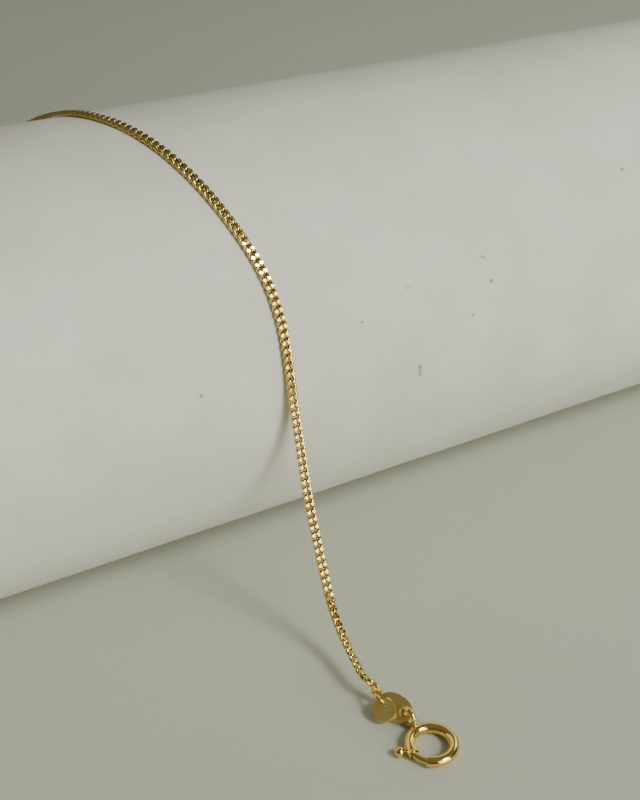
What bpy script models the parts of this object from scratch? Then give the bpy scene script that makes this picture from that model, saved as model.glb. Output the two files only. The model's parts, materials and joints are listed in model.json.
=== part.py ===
"""Fine curb chain necklace with a spring ring clasp, laid over a round display roll.

Blender 4.5, metres, +Z up. X runs along the roll, -Y is the front, where the clasp lies.
The origin is in the middle of the flat under the roll, on the table.
"""
import math

import bmesh
import bpy
from mathutils import Matrix, Vector

# Display roll
ROLL_RADIUS = 0.0267
ROLL_LENGTH = 0.150
ROLL_FLAT_WIDTH = 0.006        # planed strip that it rests on
ROLL_EDGE_ROUND = 0.0012
ROLL_SIDES = 128

# Chain, built as a plain tube of the chain's width
CHAIN_LENGTH = 0.450
CHAIN_RADIUS = 0.00050
CHAIN_ON_ROLL_GAP = 0.00012    # air under the tube, enough for its straight steps
SAMPLES_PER_SPAN = 2

# End collar, a small flared sleeve at the clasp end of the chain
COLLAR_LENGTH = 0.00095
COLLAR_NARROW_RADIUS = 0.00036
COLLAR_MOUTH_RADIUS = 0.00072
COLLAR_WALL = 0.00012
COLLAR_OFF_RING = 0.00010      # from the tag ring's wire back to the plane of the mouth
# The chain's start, seen from the middle of the collar's narrow end
CHAIN_FROM_COLLAR = (-0.00050, 0.00055, 0.00020)

# Tag ring, the small jump ring through the collar and both tags
TAG_RING_RADIUS = 0.00079
TAG_RING_WIRE_RADIUS = 0.00018
TAG_RING_IN_ROUND_TAG = -36.2  # degrees round the ring from the oval tag

# Oval tag, the plate that the clasp hangs on
OVAL_TAG_LENGTH = 0.0043
OVAL_TAG_WIDTH = 0.00295
OVAL_TAG_THICKNESS = 0.00022
OVAL_TAG_HOLE_RADIUS = 0.00049
OVAL_TAG_HOLE_SPACING = 0.00220
OVAL_TAG_HEADING = -69         # degrees in plan
OVAL_TAG_PITCH = -5            # clasp end lower
OVAL_TAG_ROLL = 27             # right edge raised

# Round tag
ROUND_TAG_RADIUS = 0.00134
ROUND_TAG_THICKNESS = 0.00014
ROUND_TAG_HOLE_RADIUS = 0.00036
ROUND_TAG_HOLE_RIM = 0.00012
ROUND_TAG_HEADING = 233.8      # degrees in plan, the way its lower edge points
ROUND_TAG_LEAN = 22.5

# Spring ring clasp
CLASP_RING_RADIUS = 0.00235    # to the middle of the tube
CLASP_TUBE_RADIUS = 0.00060
CLASP_TUBE_WALL = 0.00013
CLASP_REST_GAP = 0.00002       # air between the tube and the table
GATE_START = 188               # degrees round the clasp, where the housing ends
GATE_END = 225                 # where the housing starts again
EYELET_RADIUS = 0.00094        # upright ring soldered to the housing
EYELET_WIRE_RADIUS = 0.00027
EYELET_SOLDER_DEPTH = 0.00008
EYELET_HEADING = 94.5          # degrees round the clasp
BOLT_RADIUS = 0.00038
BOLT_TIP_LAP = 5               # degrees of bolt inside the far mouth
BOLT_TAIL = 52                 # degrees of bolt behind the stem
BOLT_STROKE = 44               # degrees that the bolt slides back
STEM_RADIUS = 0.00016
STEM_GAP = 0.00006             # air round the stem in its slot
STEM_ANGLE = 167.5             # degrees round the clasp, gate shut
KNOB_RADIUS = 0.00054
KNOB_REACH = 0.00358           # clasp centre to knob centre

# Far end ring, lying on the table
FAR_RING_RADIUS = 0.0016
FAR_RING_WIRE_RADIUS = 0.00030
FAR_RING_GAP = 0.00010

# Where the run of small pieces starts: the hole of the oval tag nearest to the chain,
# as x, distance in front of the roll's face, and height
OVAL_TAG_HOLE_AT = (-0.01983, 0.02200, 0.00125)
# The tag ring's wire off the middle of that hole, the way from its centre to there, and its normal
TAG_RING_IN_HOLE = (-0.00006, -0.00004, -0.00004)
TAG_RING_TOWARDS = (0.424, -0.823, -0.378)
TAG_RING_NORMAL = (0.617, -0.043, 0.786)
# The way from the chain into the collar's mouth
COLLAR_TOWARDS = (-0.243, -0.818, -0.520)

# The chain's route from the collar to the far end: x, y, z in millimetres. It lies over
# the roll, hangs free on both sides, and goes round behind it in one broad bend.
CHAIN_ROUTE = [
    (-20.51, -46.05, 2.37), (-20.60, -44.30, 2.44), (-20.22, -41.20, 3.08), (-20.09, -38.40, 4.60),
    (-19.98, -36.20, 7.10), (-19.75, -31.40, 16.80), (-19.56, -28.10, 26.60), (-19.48, -26.80, 31.90),
    (-19.55, -25.00, 37.20), (-20.20, -22.50, 41.90), (-21.70, -18.80, 46.30), (-24.10, -12.20, 50.80),
    (-26.60, -5.00, 53.30), (-28.90, 1.50, 53.80), (-31.00, 7.60, 52.80), (-33.10, 13.80, 50.10),
    (-35.20, 19.30, 45.80), (-37.30, 23.50, 40.20), (-39.20, 26.30, 34.00), (-42.30, 29.20, 20.80),
    (-43.70, 31.60, 13.90), (-45.00, 35.10, 7.50), (-46.60, 40.30, 2.90), (-48.90, 47.50, 0.90),
    (-51.60, 57.00, 0.60), (-54.00, 72.00, 0.58), (-54.00, 90.00, 0.56), (-50.40, 109.50, 0.56),
    (-42.20, 127.00, 0.56), (-29.40, 140.60, 0.56), (-12.80, 149.20, 0.56), (5.50, 151.80, 0.56),
    (23.60, 148.40, 0.56), (39.20, 139.20, 0.56), (51.00, 125.20, 0.56), (57.80, 107.60, 0.56),
    (59.60, 88.50, 0.56), (59.20, 70.00, 0.56), (58.20, 52.00, 0.56), (57.10, 27.00, 0.56),
]

MM = 0.001
ROLL_AXIS_HEIGHT = math.sqrt(ROLL_RADIUS ** 2 - (ROLL_FLAT_WIDTH / 2) ** 2)
GOLD = (0.83, 0.60, 0.22)
PLASTER = (0.86, 0.84, 0.79)


def clear_scene():
    for obj in list(bpy.data.objects):
        bpy.data.objects.remove(obj, do_unlink=True)


def make_collection(name):
    collection = bpy.data.collections.new(name)
    bpy.context.scene.collection.children.link(collection)
    return collection


def make_material(name, colour, metallic, roughness):
    material = bpy.data.materials.new(name)
    material.use_nodes = True
    shader = material.node_tree.nodes["Principled BSDF"]
    shader.inputs["Base Color"].default_value = (*colour, 1.0)
    shader.inputs["Metallic"].default_value = metallic
    shader.inputs["Roughness"].default_value = roughness
    return material


def finish(obj, name, collection, material=None, smooth_angle=40):
    """Name a piece, put it in its collection, and shade its round faces smooth."""
    obj.name = name
    for owner in list(obj.users_collection):
        owner.objects.unlink(obj)
    collection.objects.link(obj)
    if material is None:
        obj.hide_render = True
        obj.display_type = "WIRE"
        return obj
    obj.data.materials.clear()
    obj.data.materials.append(material)
    if obj.type == "MESH":
        obj.data.shade_smooth()
        obj.data.set_sharp_from_angle(angle=math.radians(smooth_angle))
    return obj


def axes_at(origin, x_axis, z_axis):
    """A matrix with its Z along z_axis and its X as near to x_axis as that allows."""
    z = Vector(z_axis).normalized()
    y = z.cross(Vector(x_axis)).normalized()
    x = y.cross(z)
    matrix = Matrix((x, y, z)).transposed().to_4x4()
    matrix.translation = origin
    return matrix


def boolean(obj, cutter, operation):
    modifier = obj.modifiers.new(operation.lower(), "BOOLEAN")
    modifier.operation = operation
    modifier.object = cutter
    modifier.solver = "EXACT"


def polyline_curve(points, radius, capped, resolution):
    """A wire of the given radius through a row of points."""
    curve = bpy.data.curves.new("wire", "CURVE")
    curve.dimensions = "3D"
    spline = curve.splines.new("POLY")
    spline.points.add(len(points) - 1)
    for point, place in zip(spline.points, points):
        point.co = (*place, 1.0)
    curve.bevel_depth = radius
    curve.bevel_resolution = resolution
    curve.use_fill_caps = capped
    obj = bpy.data.objects.new("wire", curve)
    bpy.context.scene.collection.objects.link(obj)
    return obj


def as_mesh(curve_object):
    """The same shape as a mesh object, its caps welded on."""
    evaluated = curve_object.evaluated_get(bpy.context.evaluated_depsgraph_get())
    mesh = bpy.data.meshes.new_from_object(evaluated)
    welded = bmesh.new()
    welded.from_mesh(mesh)
    bmesh.ops.remove_doubles(welded, verts=welded.verts, dist=1e-6)
    bmesh.ops.recalc_face_normals(welded, faces=welded.faces)
    welded.to_mesh(mesh)
    welded.free()
    obj = bpy.data.objects.new(curve_object.name, mesh)
    obj.matrix_world = curve_object.matrix_world
    bpy.context.scene.collection.objects.link(obj)
    bpy.data.objects.remove(curve_object, do_unlink=True)
    return obj


def ring(radius, wire_radius, matrix, segments=36, sides=10):
    bpy.ops.mesh.primitive_torus_add(
        major_radius=radius, minor_radius=wire_radius, major_segments=segments, minor_segments=sides)
    obj = bpy.context.object
    obj.matrix_world = matrix
    return obj


def arc_points(centre, radius, start, end, step=5):
    """Points on a level arc, every step degrees or a little less."""
    count = max(2, math.ceil(abs(end - start) / step))
    angles = [math.radians(start + (end - start) * i / count) for i in range(count + 1)]
    return [centre + radius * Vector((math.cos(a), math.sin(a), 0)) for a in angles]


def round_outline(half_length, half_width, count, centre=(0.0, 0.0)):
    turns = [2 * math.pi * i / count for i in range(count)]
    return [(centre[0] + half_length * math.cos(a), centre[1] + half_width * math.sin(a)) for a in turns]


def flat_plate(outlines, thickness, matrix):
    """A plate from a filled flat outline with holes, at half its thickness each way."""
    curve = bpy.data.curves.new("plate", "CURVE")
    curve.dimensions = "2D"
    curve.fill_mode = "BOTH"
    curve.extrude = thickness / 2
    for outline in outlines:
        spline = curve.splines.new("POLY")
        spline.points.add(len(outline) - 1)
        for point, (x, y) in zip(spline.points, outline):
            point.co = (x, y, 0.0, 1.0)
        spline.use_cyclic_u = True
    obj = bpy.data.objects.new("plate", curve)
    obj.matrix_world = matrix
    bpy.context.scene.collection.objects.link(obj)
    return as_mesh(obj)


def build_roll(parts, cutters, plaster):
    bpy.ops.mesh.primitive_cylinder_add(
        vertices=ROLL_SIDES, radius=ROLL_RADIUS, depth=ROLL_LENGTH,
        location=(0, 0, ROLL_AXIS_HEIGHT), rotation=(0, math.pi / 2, 0))
    roll = finish(bpy.context.object, "display_roll", parts, plaster)
    bpy.ops.mesh.primitive_cube_add(size=1, location=(0, 0, -ROLL_RADIUS / 2))
    under = finish(bpy.context.object, "cut_flat_under_roll", cutters)
    under.scale = (ROLL_LENGTH * 1.2, ROLL_RADIUS * 2, ROLL_RADIUS)
    boolean(roll, under, "DIFFERENCE")
    rounding = roll.modifiers.new("rounded ends", "BEVEL")
    rounding.width = ROLL_EDGE_ROUND
    rounding.segments = 2
    rounding.limit_method = "ANGLE"
    rounding.angle_limit = math.radians(60)
    return roll


def rest_on_roll(point):
    """Push a point of the chain out to the roll's surface where it would lie inside it."""
    reach = ROLL_RADIUS + CHAIN_RADIUS + CHAIN_ON_ROLL_GAP
    across = Vector((0, point.y, point.z - ROLL_AXIS_HEIGHT))
    if across.length >= reach:
        return point
    across = across.normalized() * reach
    return Vector((point.x, across.y, ROLL_AXIS_HEIGHT + across.z))


def smooth_route(chosen, per_span):
    """Points on a Catmull-Rom curve through the chosen points, per_span to each span."""
    ends = [chosen[0] * 2 - chosen[1], *chosen, chosen[-1] * 2 - chosen[-2]]
    points = []
    for a, b, c, d in zip(ends, ends[1:], ends[2:], ends[3:]):
        for i in range(per_span):
            t = i / per_span
            points.append(0.5 * (2 * b + (c - a) * t + (2 * a - 5 * b + 4 * c - d) * t ** 2
                                 + (3 * b - a - 3 * c + d) * t ** 3))
    return points + [chosen[-1]]


def cut_to_length(points, length):
    """The start of a row of points, ending where the given length is used up."""
    kept, used = [points[0]], 0.0
    for a, b in zip(points, points[1:]):
        step = (b - a).length
        if used + step >= length:
            return kept + [a.lerp(b, (length - used) / step)]
        kept.append(b)
        used += step
    return kept


def chain_points(start):
    """The chain's points from its start at the collar, laid on the roll, at its real length."""
    chosen = [start] + [Vector(row) * MM for row in CHAIN_ROUTE[1:]]
    laid = [rest_on_roll(point) for point in smooth_route(chosen, SAMPLES_PER_SPAN)]
    return cut_to_length(laid, CHAIN_LENGTH)


def build_collar(parts, gold, mouth, towards):
    """A flared sleeve, turned about its axis, with its mouth at the given point."""
    profile = bpy.data.meshes.new("collar profile")
    bends = [(0.0, 0.0), (0.40, 0.10), (0.72, 0.45), (1.0, 1.0)]    # share of length, of flare
    flare = COLLAR_MOUTH_RADIUS - COLLAR_NARROW_RADIUS
    outer = [(COLLAR_NARROW_RADIUS + flare * out, along * COLLAR_LENGTH) for along, out in bends]
    inner = [(radius - COLLAR_WALL, along) for radius, along in reversed(outer)]
    corners = [(radius, 0, along) for radius, along in outer[::-1] + inner[::-1]]
    count = len(corners)
    profile.from_pydata(corners, [(i, (i + 1) % count) for i in range(count)], [])
    collar = bpy.data.objects.new("collar", profile)
    bpy.context.scene.collection.objects.link(collar)
    collar.matrix_world = axes_at(mouth - towards * COLLAR_LENGTH, (1, 0, 0), towards)
    turning = collar.modifiers.new("turned", "SCREW")
    turning.steps = turning.render_steps = 24
    turning.use_merge_vertices = True
    turning.merge_threshold = 1e-6
    return finish(collar, "end_collar", parts, gold)


def build_tags(parts, gold, oval_matrix, round_matrix):
    radius = OVAL_TAG_HOLE_RADIUS
    holes = [round_outline(radius, radius, 20, (end * OVAL_TAG_HOLE_SPACING / 2, 0)) for end in (-1, 1)]
    oval = flat_plate([round_outline(OVAL_TAG_LENGTH / 2, OVAL_TAG_WIDTH / 2, 40), *holes],
                      OVAL_TAG_THICKNESS, oval_matrix)
    finish(oval, "oval_tag", parts, gold)
    drop = ROUND_TAG_RADIUS - ROUND_TAG_HOLE_RIM - ROUND_TAG_HOLE_RADIUS
    disc = flat_plate([round_outline(ROUND_TAG_RADIUS, ROUND_TAG_RADIUS, 40, (drop, 0)),
                       round_outline(ROUND_TAG_HOLE_RADIUS, ROUND_TAG_HOLE_RADIUS, 20)],
                      ROUND_TAG_THICKNESS, round_matrix)
    finish(disc, "round_tag", parts, gold)


def build_clasp(parts, cutters, gold, centre, eyelet_centre):
    """The housing, a bent tube with a slot and a soldered eyelet, and the bolt inside it."""
    bore_radius = CLASP_TUBE_RADIUS - CLASP_TUBE_WALL
    tube = as_mesh(polyline_curve(
        arc_points(centre, CLASP_RING_RADIUS, GATE_END, GATE_START + 360), CLASP_TUBE_RADIUS, False, 4))
    housing = finish(tube, "clasp_housing", parts, gold)
    wall = housing.modifiers.new("wall", "SOLIDIFY")
    wall.thickness = CLASP_TUBE_WALL
    wall.offset = -1

    half_slot = math.degrees((STEM_RADIUS + STEM_GAP) / CLASP_RING_RADIUS)
    slot_reach = CLASP_RING_RADIUS + CLASP_TUBE_RADIUS - CLASP_TUBE_WALL / 2
    slot = as_mesh(polyline_curve(
        arc_points(centre, slot_reach, STEM_ANGLE - BOLT_STROKE - half_slot, STEM_ANGLE + half_slot),
        STEM_RADIUS + STEM_GAP, True, 2))
    boolean(housing, finish(slot, "cut_slot", cutters), "DIFFERENCE")

    out = Vector((math.cos(math.radians(EYELET_HEADING)), math.sin(math.radians(EYELET_HEADING)), 0))
    across = out.cross(Vector((0, 0, 1)))
    eyelet = ring(EYELET_RADIUS, EYELET_WIRE_RADIUS, axes_at(eyelet_centre, out, across))
    boolean(housing, finish(eyelet, "join_eyelet", cutters), "UNION")

    wire = as_mesh(polyline_curve(
        arc_points(centre, CLASP_RING_RADIUS, STEM_ANGLE - BOLT_TAIL, GATE_END + BOLT_TIP_LAP),
        min(BOLT_RADIUS, bore_radius), True, 4))
    bolt = finish(wire, "clasp_bolt", parts, gold)
    away = Vector((math.cos(math.radians(STEM_ANGLE)), math.sin(math.radians(STEM_ANGLE)), 0))
    stem_length = KNOB_REACH - CLASP_RING_RADIUS
    bpy.ops.mesh.primitive_cylinder_add(vertices=12, radius=STEM_RADIUS, depth=stem_length)
    bpy.context.object.matrix_world = axes_at(
        centre + away * (CLASP_RING_RADIUS + stem_length / 2), (0, 0, 1), away)
    boolean(bolt, finish(bpy.context.object, "join_stem", cutters), "UNION")
    bpy.ops.mesh.primitive_uv_sphere_add(segments=20, ring_count=12, radius=KNOB_RADIUS)
    bpy.context.object.matrix_world = axes_at(centre + away * KNOB_REACH, (0, 0, 1), away)
    boolean(bolt, finish(bpy.context.object, "join_knob", cutters), "UNION")


def build_necklace(parts, cutters, gold):
    """Work outwards from the oval tag: tag ring and collar one way, eyelet and clasp the other."""
    x, out, height = OVAL_TAG_HOLE_AT
    near_hole = Vector((x, -ROLL_RADIUS - out, height))

    heading, pitch, roll = (math.radians(a) for a in (OVAL_TAG_HEADING, OVAL_TAG_PITCH, OVAL_TAG_ROLL))
    turn = Matrix.Rotation(heading, 4, "Z") @ Matrix.Rotation(-pitch, 4, "Y") @ Matrix.Rotation(roll, 4, "X")
    along = turn @ Vector((1, 0, 0))
    oval_centre = near_hole + along * OVAL_TAG_HOLE_SPACING / 2
    far_hole = near_hole + along * OVAL_TAG_HOLE_SPACING

    towards = Vector(TAG_RING_TOWARDS).normalized()
    normal = Vector(TAG_RING_NORMAL).normalized()
    away = towards.cross(normal).normalized()
    if away.z > 0:
        away = -away

    def on_tag_ring(degrees):
        angle = math.radians(degrees)
        return TAG_RING_RADIUS * (math.cos(angle) * towards + math.sin(angle) * away)

    ring_centre = near_hole + Vector(TAG_RING_IN_HOLE) - on_tag_ring(0)
    tag_ring = ring(TAG_RING_RADIUS, TAG_RING_WIRE_RADIUS, axes_at(ring_centre, towards, normal), 32)
    finish(tag_ring, "tag_ring", parts, gold)

    facing, lean = math.radians(ROUND_TAG_HEADING), math.radians(ROUND_TAG_LEAN)
    downhill = Vector((math.cos(facing) * math.cos(lean), math.sin(facing) * math.cos(lean), -math.sin(lean)))
    upright = Vector((math.cos(facing) * math.sin(lean), math.sin(facing) * math.sin(lean), math.cos(lean)))
    round_matrix = axes_at(ring_centre + on_tag_ring(TAG_RING_IN_ROUND_TAG), downhill, upright)
    build_tags(parts, gold, Matrix.Translation(oval_centre) @ turn, round_matrix)

    collar_towards = Vector(COLLAR_TOWARDS).normalized()
    back = (normal * collar_towards.dot(normal) - collar_towards).normalized()
    mouth = ring_centre + back * TAG_RING_RADIUS - collar_towards * COLLAR_OFF_RING
    build_collar(parts, gold, mouth, collar_towards)
    chain_start = mouth - collar_towards * COLLAR_LENGTH + Vector(CHAIN_FROM_COLLAR)

    tube_height = CLASP_TUBE_RADIUS + CLASP_REST_GAP
    eyelet_height = EYELET_RADIUS + EYELET_WIRE_RADIUS + CLASP_REST_GAP
    inward = -Vector((math.cos(math.radians(EYELET_HEADING)), math.sin(math.radians(EYELET_HEADING)), 0))
    below = eyelet_height - far_hole.z
    eyelet_centre = far_hole + inward * math.sqrt(EYELET_RADIUS ** 2 - below ** 2)
    eyelet_centre.z = eyelet_height
    soldered = EYELET_RADIUS + EYELET_WIRE_RADIUS + CLASP_TUBE_RADIUS - EYELET_SOLDER_DEPTH
    reach = math.sqrt(soldered ** 2 - (eyelet_height - tube_height) ** 2)
    clasp_centre = eyelet_centre + inward * (reach + CLASP_RING_RADIUS)
    clasp_centre.z = tube_height
    build_clasp(parts, cutters, gold, clasp_centre, eyelet_centre)

    points = chain_points(chain_start)
    chain = polyline_curve(points, CHAIN_RADIUS, True, 2)
    finish(chain, "chain", parts, gold)
    last = (points[-1] - points[-2]).normalized()
    ring_at = points[-1] + last * (FAR_RING_GAP + FAR_RING_RADIUS + FAR_RING_WIRE_RADIUS)
    ring_at.z = FAR_RING_WIRE_RADIUS + CLASP_REST_GAP
    far_ring = ring(FAR_RING_RADIUS, FAR_RING_WIRE_RADIUS, axes_at(ring_at, (1, 0, 0), (0, 0, 1)))
    finish(far_ring, "far_end_ring", parts, gold)
    return clasp_centre


def main():
    clear_scene()
    parts = make_collection("chain_necklace_on_roll")
    cutters = make_collection("cutters")
    gold = make_material("polished gold", GOLD, 1.0, 0.12)
    plaster = make_material("white plaster", PLASTER, 0.0, 0.85)
    build_roll(parts, cutters, plaster)
    clasp_centre = build_necklace(parts, cutters, gold)
    print("clasp centre", [round(value, 6) for value in clasp_centre])


main()
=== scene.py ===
# %% [markdown]
# # A fine curb chain, unfastened, over a plaster display roll
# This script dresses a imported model. The solids that carry and move the piece are already made;
# here each of them gets the surface that a jeweller would see: interlocking links in place of a
# plain tube, drawn wire, thin stamped tags, a spring ring clasp, and a cast plaster roll.
# All lengths are in metres, +Z is up, and the clasp lies on the -Y side of the roll.

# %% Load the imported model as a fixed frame
import json
import math

import bpy
import numpy as np
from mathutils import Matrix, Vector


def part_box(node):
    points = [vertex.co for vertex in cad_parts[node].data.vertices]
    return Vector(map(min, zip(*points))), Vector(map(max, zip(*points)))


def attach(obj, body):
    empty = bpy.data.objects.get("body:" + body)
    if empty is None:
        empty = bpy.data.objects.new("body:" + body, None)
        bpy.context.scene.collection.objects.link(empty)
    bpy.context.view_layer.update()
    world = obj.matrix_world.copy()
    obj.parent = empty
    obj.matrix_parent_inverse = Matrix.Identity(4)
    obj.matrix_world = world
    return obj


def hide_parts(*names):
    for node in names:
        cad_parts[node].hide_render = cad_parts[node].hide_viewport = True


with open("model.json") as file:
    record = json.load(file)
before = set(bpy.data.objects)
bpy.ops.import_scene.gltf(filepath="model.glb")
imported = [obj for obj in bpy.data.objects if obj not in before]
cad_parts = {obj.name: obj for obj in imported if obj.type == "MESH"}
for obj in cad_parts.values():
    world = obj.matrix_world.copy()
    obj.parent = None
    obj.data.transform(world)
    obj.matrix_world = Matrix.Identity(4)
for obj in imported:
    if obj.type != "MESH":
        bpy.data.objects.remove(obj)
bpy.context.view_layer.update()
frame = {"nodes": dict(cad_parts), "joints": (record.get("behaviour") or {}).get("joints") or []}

MM = 0.001
NECKLACE = "necklace_on_roll"
BOLT = "bolt"
print("nodes:", sorted(frame["nodes"]))

# %% [markdown]
# ## The camera
# The photograph was taken from the front left, a little above. A long lens keeps the roll's two
# edges nearly parallel. The place below makes the roll's outlines and the clasp's ellipse fall
# where the photograph has them, for an image of 640 by 800.

# %% Place the camera
CAMERA_PLACE = (-73.0 * MM, -127.27 * MM, 98.72 * MM)
CAMERA_LENS = 54.45                      # for a 36 mm sensor on the long side
CAMERA_DOWN = 0.556                      # radians below the horizon
CAMERA_TURN = math.atan2(-0.495, 0.869)  # radians from +Y

lens = bpy.data.cameras.new("photo_view")
lens.sensor_width = 36
lens.lens = CAMERA_LENS
lens.clip_start = 0.005
lens.clip_end = 10
camera = bpy.data.objects.new("photo_view", lens)
camera.location = CAMERA_PLACE
camera.rotation_euler = (math.pi / 2 - CAMERA_DOWN, 0, CAMERA_TURN)
bpy.context.scene.collection.objects.link(camera)
bpy.context.scene.camera = camera
print("camera at", [round(v / MM, 1) for v in CAMERA_PLACE], "mm")

# %% [markdown]
# ## Making surfaces from arrays
# Every piece below is a surface worked out with numpy: a grid of points, row by row. One helper
# turns such a grid into a mesh. Its rows or columns can run round and meet themselves, and an
# open end can be closed with a fan of faces about its middle.

# %% A helper that turns grids of points into one mesh object


def grid_faces(rows, columns, round_rows, round_columns):
    """Quads between neighbours of a grid of rows by columns points, as an array of corners."""
    i = np.arange(rows if round_rows else rows - 1)[:, None]
    j = np.arange(columns if round_columns else columns - 1)[None, :]
    i_next, j_next = (i + 1) % rows, (j + 1) % columns
    corners = (i * columns + j, i * columns + j_next, i_next * columns + j_next, i_next * columns + j)
    return np.stack(np.broadcast_arrays(*corners), axis=-1).reshape(-1, 4)


def add_piece(name, parts, material, flat_faces=None):
    """One object from several (points, faces) parts, each face a row of 3 or 4 corners."""
    points, faces, start = [], [], 0
    for part_points, part_faces in parts:
        part_points = np.asarray(part_points, float).reshape(-1, 3)
        points.append(part_points)
        faces.extend((np.asarray(part_faces) + start).tolist())
        start += len(part_points)
    mesh = bpy.data.meshes.new(name)
    mesh.from_pydata(np.concatenate(points).tolist(), [], faces)
    smooth = np.ones(len(faces), bool) if flat_faces is None else ~flat_faces
    mesh.polygons.foreach_set("use_smooth", smooth)
    mesh.materials.append(material)
    mesh.update()
    piece = bpy.data.objects.new(name, mesh)
    bpy.context.scene.collection.objects.link(piece)
    print(f"{name}: {len(mesh.vertices)} points, {len(faces)} faces")
    return piece


def unit(vectors):
    """Vectors at length one, along the last axis."""
    vectors = np.asarray(vectors, float)
    return vectors / np.linalg.norm(vectors, axis=-1, keepdims=True)


def closed_grid(grid, first_cap=False, last_cap=False):
    """A grid whose columns run round, with each end closed by a fan about its middle if asked."""
    rows, columns = grid.shape[:2]
    points = grid.reshape(-1, 3)
    parts = [(points, grid_faces(rows, columns, False, True))]
    around = np.arange(columns)
    for cap, row, turn in ((first_cap, 0, 1), (last_cap, rows - 1, -1)):
        if cap:
            ring = grid[row]
            fan = np.stack([around, np.full(columns, columns), np.roll(around, -1)], axis=1)
            parts.append((np.vstack([ring, ring.mean(axis=0)]), fan[:, ::turn]))
    return parts


# %% [markdown]
# ## Reading sizes back from the frame
# A fine surface has to sit exactly where its plain solid sits. So its centre, axes and radii are
# measured from the solid's own corners. The singular values of the corners say how far they
# spread each way: a ring or a plate spreads least along its own axis.

# %% Measure rings, plates and turned pieces


def corners_of(node):
    """The different corner points of a solid, as an array."""
    mesh = frame["nodes"][node].data
    flat = np.empty(len(mesh.vertices) * 3, np.float32)
    mesh.vertices.foreach_get("co", flat)
    return np.unique(np.round(flat.reshape(-1, 3).astype(float), 8), axis=0)


def spread_axes(points):
    """The middle of the points and their three main directions, widest first."""
    centre = points.mean(axis=0)
    _, _, axes = np.linalg.svd(points - centre, full_matrices=False)
    return centre, axes


def measure_ring(node):
    """Centre, axis, ring radius and wire radius of a round ring."""
    points = corners_of(node)
    centre, axes = spread_axes(points)
    across = (points - centre) @ axes[:2].T
    reach = np.linalg.norm(across, axis=1)
    return centre, axes[2], (reach.max() + reach.min()) / 2, (reach.max() - reach.min()) / 2


for ring_node in ("tag_ring", "far_end_ring"):
    _, _, ring_radius, wire_radius = measure_ring(ring_node)
    print(ring_node, "ring", round(ring_radius / MM, 3), "wire", round(wire_radius / MM, 3), "mm")

# %% [markdown]
# ## Gold
# Polished gold is nearly all reflection: its colour is the tint it gives to what it mirrors. The
# photographed pieces are yellow gold with a soft hand polish, so the finish has very fine
# scratches, slightly uneven roughness and a tone that is here and there a little warmer. The pattern reads Object coordinates, so it stays on the metal in every view.

# %% Make the gold finishes

GOLD_COLOUR = (0.93, 0.71, 0.22)
GOLD_WARM = (0.90, 0.66, 0.18)
# Dull brown mixed into the chain's gold where the links lie deep in each other: painted shade.
RECESS_PAINTED_SHADE = (0.30, 0.17, 0.05)


def new_material(name):
    """A material with its node tree, principled shader and object coordinates."""
    material = bpy.data.materials.new(name)
    material.use_nodes = True
    tree = material.node_tree
    place = tree.nodes.new("ShaderNodeTexCoord")
    return material, tree, tree.nodes["Principled BSDF"], place.outputs["Object"]


def noise(tree, place, size, detail=2.0, distortion=0.0):
    """Noise with lumps about size metres across."""
    node = tree.nodes.new("ShaderNodeTexNoise")
    node.inputs["Scale"].default_value = 1 / size
    node.inputs["Detail"].default_value = detail
    node.inputs["Distortion"].default_value = distortion
    tree.links.new(place, node.inputs["Vector"])
    return node.outputs["Fac"]


def ramp(tree, value, stops):
    """A colour ramp through (position, colour) stops."""
    node = tree.nodes.new("ShaderNodeValToRGB")
    elements = node.color_ramp.elements
    while len(elements) < len(stops):
        elements.new(0.5)
    for element, (position, colour) in zip(elements, stops):
        element.position = position
        element.color = (*colour, 1.0)
    tree.links.new(value, node.inputs["Fac"])
    return node.outputs["Color"]


def spread(tree, value, low, high):
    """Map a value from 0..1 to low..high."""
    node = tree.nodes.new("ShaderNodeMapRange")
    node.inputs["To Min"].default_value = low
    node.inputs["To Max"].default_value = high
    tree.links.new(value, node.inputs["Value"])
    return node.outputs["Result"]


def bump(tree, shader, height, depth, strength=1.0):
    """Bump of the given depth in metres on the shader's normal."""
    node = tree.nodes.new("ShaderNodeBump")
    node.inputs["Strength"].default_value = strength
    node.inputs["Distance"].default_value = depth
    tree.links.new(height, node.inputs["Height"])
    tree.links.new(node.outputs["Normal"], shader.inputs["Normal"])


def gold_finish(name, rough_low, rough_high, scratch_depth):
    """Gold with uneven roughness and fine scratches of the given depth."""
    material, tree, shader, place = new_material(name)
    shader.inputs["Metallic"].default_value = 1.0
    tone = ramp(tree, noise(tree, place, 1.5 * MM), ((0.35, GOLD_WARM), (0.60, GOLD_COLOUR)))
    tree.links.new(tone, shader.inputs["Base Color"])
    uneven = spread(tree, noise(tree, place, 0.5 * MM, 3.0), rough_low, rough_high)
    tree.links.new(uneven, shader.inputs["Roughness"])
    bump(tree, shader, noise(tree, place, 0.12 * MM, 2.0, 0.6), scratch_depth, 0.4)
    return material


def paint_recess_shade(material):
    """Painted shade between the links: the tone turns dull brown where the depth attribute is high."""
    tree = material.node_tree
    shader = tree.nodes["Principled BSDF"]
    depth = tree.nodes.new("ShaderNodeAttribute")
    depth.attribute_name = "depth"
    painted_shade_share = ramp(tree, depth.outputs["Fac"], ((0.22, (0, 0, 0)), (0.62, (1, 1, 1))))
    mixed = tree.nodes.new("ShaderNodeMix")
    mixed.data_type = "RGBA"
    tree.links.new(painted_shade_share, mixed.inputs["Factor"])
    tree.links.new(shader.inputs["Base Color"].links[0].from_socket, mixed.inputs["A"])
    mixed.inputs["B"].default_value = (*RECESS_PAINTED_SHADE, 1.0)
    tree.links.new(mixed.outputs["Result"], shader.inputs["Base Color"])


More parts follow.
